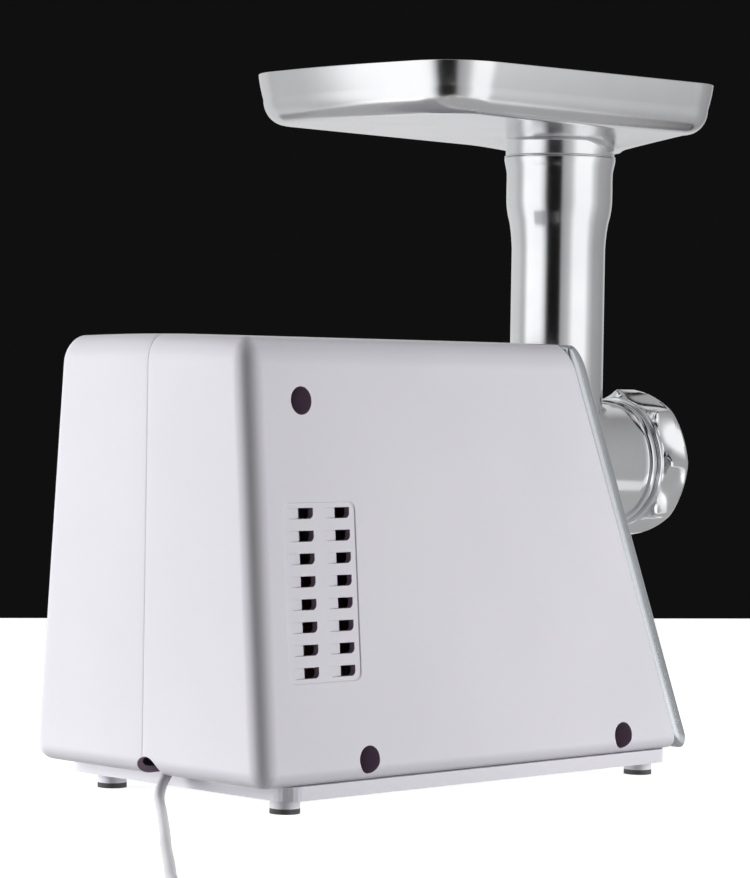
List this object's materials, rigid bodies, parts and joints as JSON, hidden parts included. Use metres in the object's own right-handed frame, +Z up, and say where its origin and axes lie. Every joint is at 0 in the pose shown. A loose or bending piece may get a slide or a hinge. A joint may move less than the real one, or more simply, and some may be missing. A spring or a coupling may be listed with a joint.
{
  "type": "electric meat grinder",
  "caption": "Table-top electric meat grinder: white motor housing with a sloped silver front, polished grinding head on a bayonet, ring nut, feed tube and a large metal food tray.",
  "frame": {"origin": "centre of the base, on the table the feet stand on, at the middle of the object's width and length without its cord", "axes": "+X to the side with the rocker switch, -Y to the grinding head and the ring nut, +Y to the rear face where the cord leaves, +Z up; the grinding axis is x=0, z=0.153"},
  "size_m": [0.382, 0.6167, 0.3427],
  "materials": {
    "white_plastic": "satin white with a faint cool tint",
    "silver_plastic": "silver-grey satin paint",
    "foot_rubber": "matt",
    "zinc_steel": "zinc plated",
    "port_casting": "as cast",
    "lamination_steel": "stacked sheets",
    "copper_wire": "enamelled wire",
    "copper_bar": "turned",
    "brush_brass": "pressed",
    "carbon": "matt black",
    "bearing_steel": "ground",
    "black_plastic": "fine texture",
    "board_green": "solder mask",
    "film_yellow": "wrapped film",
    "cord_white": "smooth sheath",
    "plug_white": "moulded",
    "gear_nylon": "moulded",
    "cast_aluminium": "as cast",
    "blade_steel": "ground",
    "polished_aluminium": "polished",
    "tray_steel": "polished with fine haze",
    "rocker_red": "moulded"
  },
  "bodies": {
    "housing": {"housing_left": "white_plastic", "housing_right": "white_plastic", "front_panel": "silver_plastic", "base_plate": "white_plastic", "rubber_feet": "foot_rubber", "housing_screws": "zinc_steel", "base_screws": "zinc_steel", "port_sleeve": "port_casting", "gearbox_case": "port_casting", "gearbox_cover": "port_casting", "gearbox_screws": "zinc_steel", "field_stack": "lamination_steel", "field_coils": "copper_wire", "motor_bolts": "zinc_steel", "motor_rear_bracket": "port_casting", "brush_holders": "brush_brass", "carbon_brushes": "carbon", "brush_springs": "zinc_steel", "motor_bearing_front": "bearing_steel", "motor_bearing_rear": "bearing_steel", "motor_mounts": "foot_rubber", "output_bearing": "bearing_steel", "lock_spring": "zinc_steel", "power_switch": "black_plastic", "circuit_board": "board_green", "capacitor": "film_yellow", "cord_clamp": "white_plastic", "strain_relief": "cord_white", "cord": "cord_white", "cord_coil": "cord_white", "plug": "plug_white", "plug_pins": "brush_brass"},
    "rotor": {"rotor_shaft": "bearing_steel", "rotor_core": "lamination_steel", "rotor_windings": "copper_wire", "commutator": "copper_bar", "cooling_fan": "black_plastic", "motor_pinion": "bearing_steel"},
    "stage1": {"stage1_shaft": "bearing_steel", "stage1_gear": "gear_nylon", "stage1_pinion": "bearing_steel"},
    "stage2": {"stage2_shaft": "bearing_steel", "stage2_gear": "gear_nylon", "stage2_pinion": "bearing_steel"},
    "drive": {"output_shaft": "bearing_steel", "output_gear": "gear_nylon", "auger_coupling": "gear_nylon", "auger": "cast_aluminium", "knife": "blade_steel"},
    "head": {"grinder_head": "polished_aluminium"},
    "plate": {"cutting_plate": "blade_steel"},
    "nut": {"ring_nut": "polished_aluminium"},
    "tray": {"tray": "tray_steel"},
    "lock": {"lock_button": "silver_plastic", "lock_pin": "zinc_steel"},
    "rocker": {"power_rocker": "rocker_red"}
  },
  "joints": [
    {"name": "rotor_spin", "type": "hinge", "parent": "housing", "child": "rotor", "pos_m": [0, 0, 0.07122], "axis": [0, 1, 0], "continuous": true},
    {"name": "stage1_spin", "type": "hinge", "parent": "housing", "child": "stage1", "pos_m": [-0.005, 0, 0.10232], "axis": [0, 1, 0], "continuous": true},
    {"name": "stage2_spin", "type": "hinge", "parent": "housing", "child": "stage2", "pos_m": [0.026, 0, 0.11566], "axis": [0, 1, 0], "continuous": true},
    {"name": "auger_spin", "type": "hinge", "parent": "housing", "child": "drive", "pos_m": [0, 0, 0.153], "axis": [0, 1, 0], "continuous": true},
    {"name": "head_turn", "type": "hinge", "parent": "housing", "child": "head", "pos_m": [0, 0, 0.153], "axis": [0, -1, 0], "range_deg": [0, 45]},
    {"name": "plate_slide", "type": "slide", "parent": "head", "child": "plate", "axis": [0, -1, 0], "range_m": [0, 0.0121]},
    {"name": "ring_turn", "type": "hinge", "parent": "plate", "child": "nut", "pos_m": [0, 0, 0.153], "axis": [0, -1, 0], "range_deg": [0, 1080]},
    {"name": "tray_lift", "type": "slide", "parent": "head", "child": "tray", "axis": [0, 0, 1], "range_m": [0, 0.06]},
    {"name": "lock_push", "type": "slide", "parent": "housing", "child": "lock", "axis": [0, 1, 0], "range_m": [0, 0.004], "stiffness_N_per_m": 800, "springref_m": -0.002, "deforming": ["lock_spring"]},
    {"name": "rocker_tilt", "type": "hinge", "parent": "housing", "child": "rocker", "pos_m": [0.07227, 0.06, 0.14984], "axis": [0, 1, 0], "range_deg": [-12, 12]}
  ],
  "couplings": [
    {"joint": "stage1_spin", "follows": "rotor_spin", "ratio": -0.16667},
    {"joint": "stage2_spin", "follows": "rotor_spin", "ratio": 0.047619},
    {"joint": "auger_spin", "follows": "rotor_spin", "ratio": -0.015873},
    {"joint": "plate_slide", "follows": "ring_turn", "m_per_rad": 0.00063662}
  ]
}
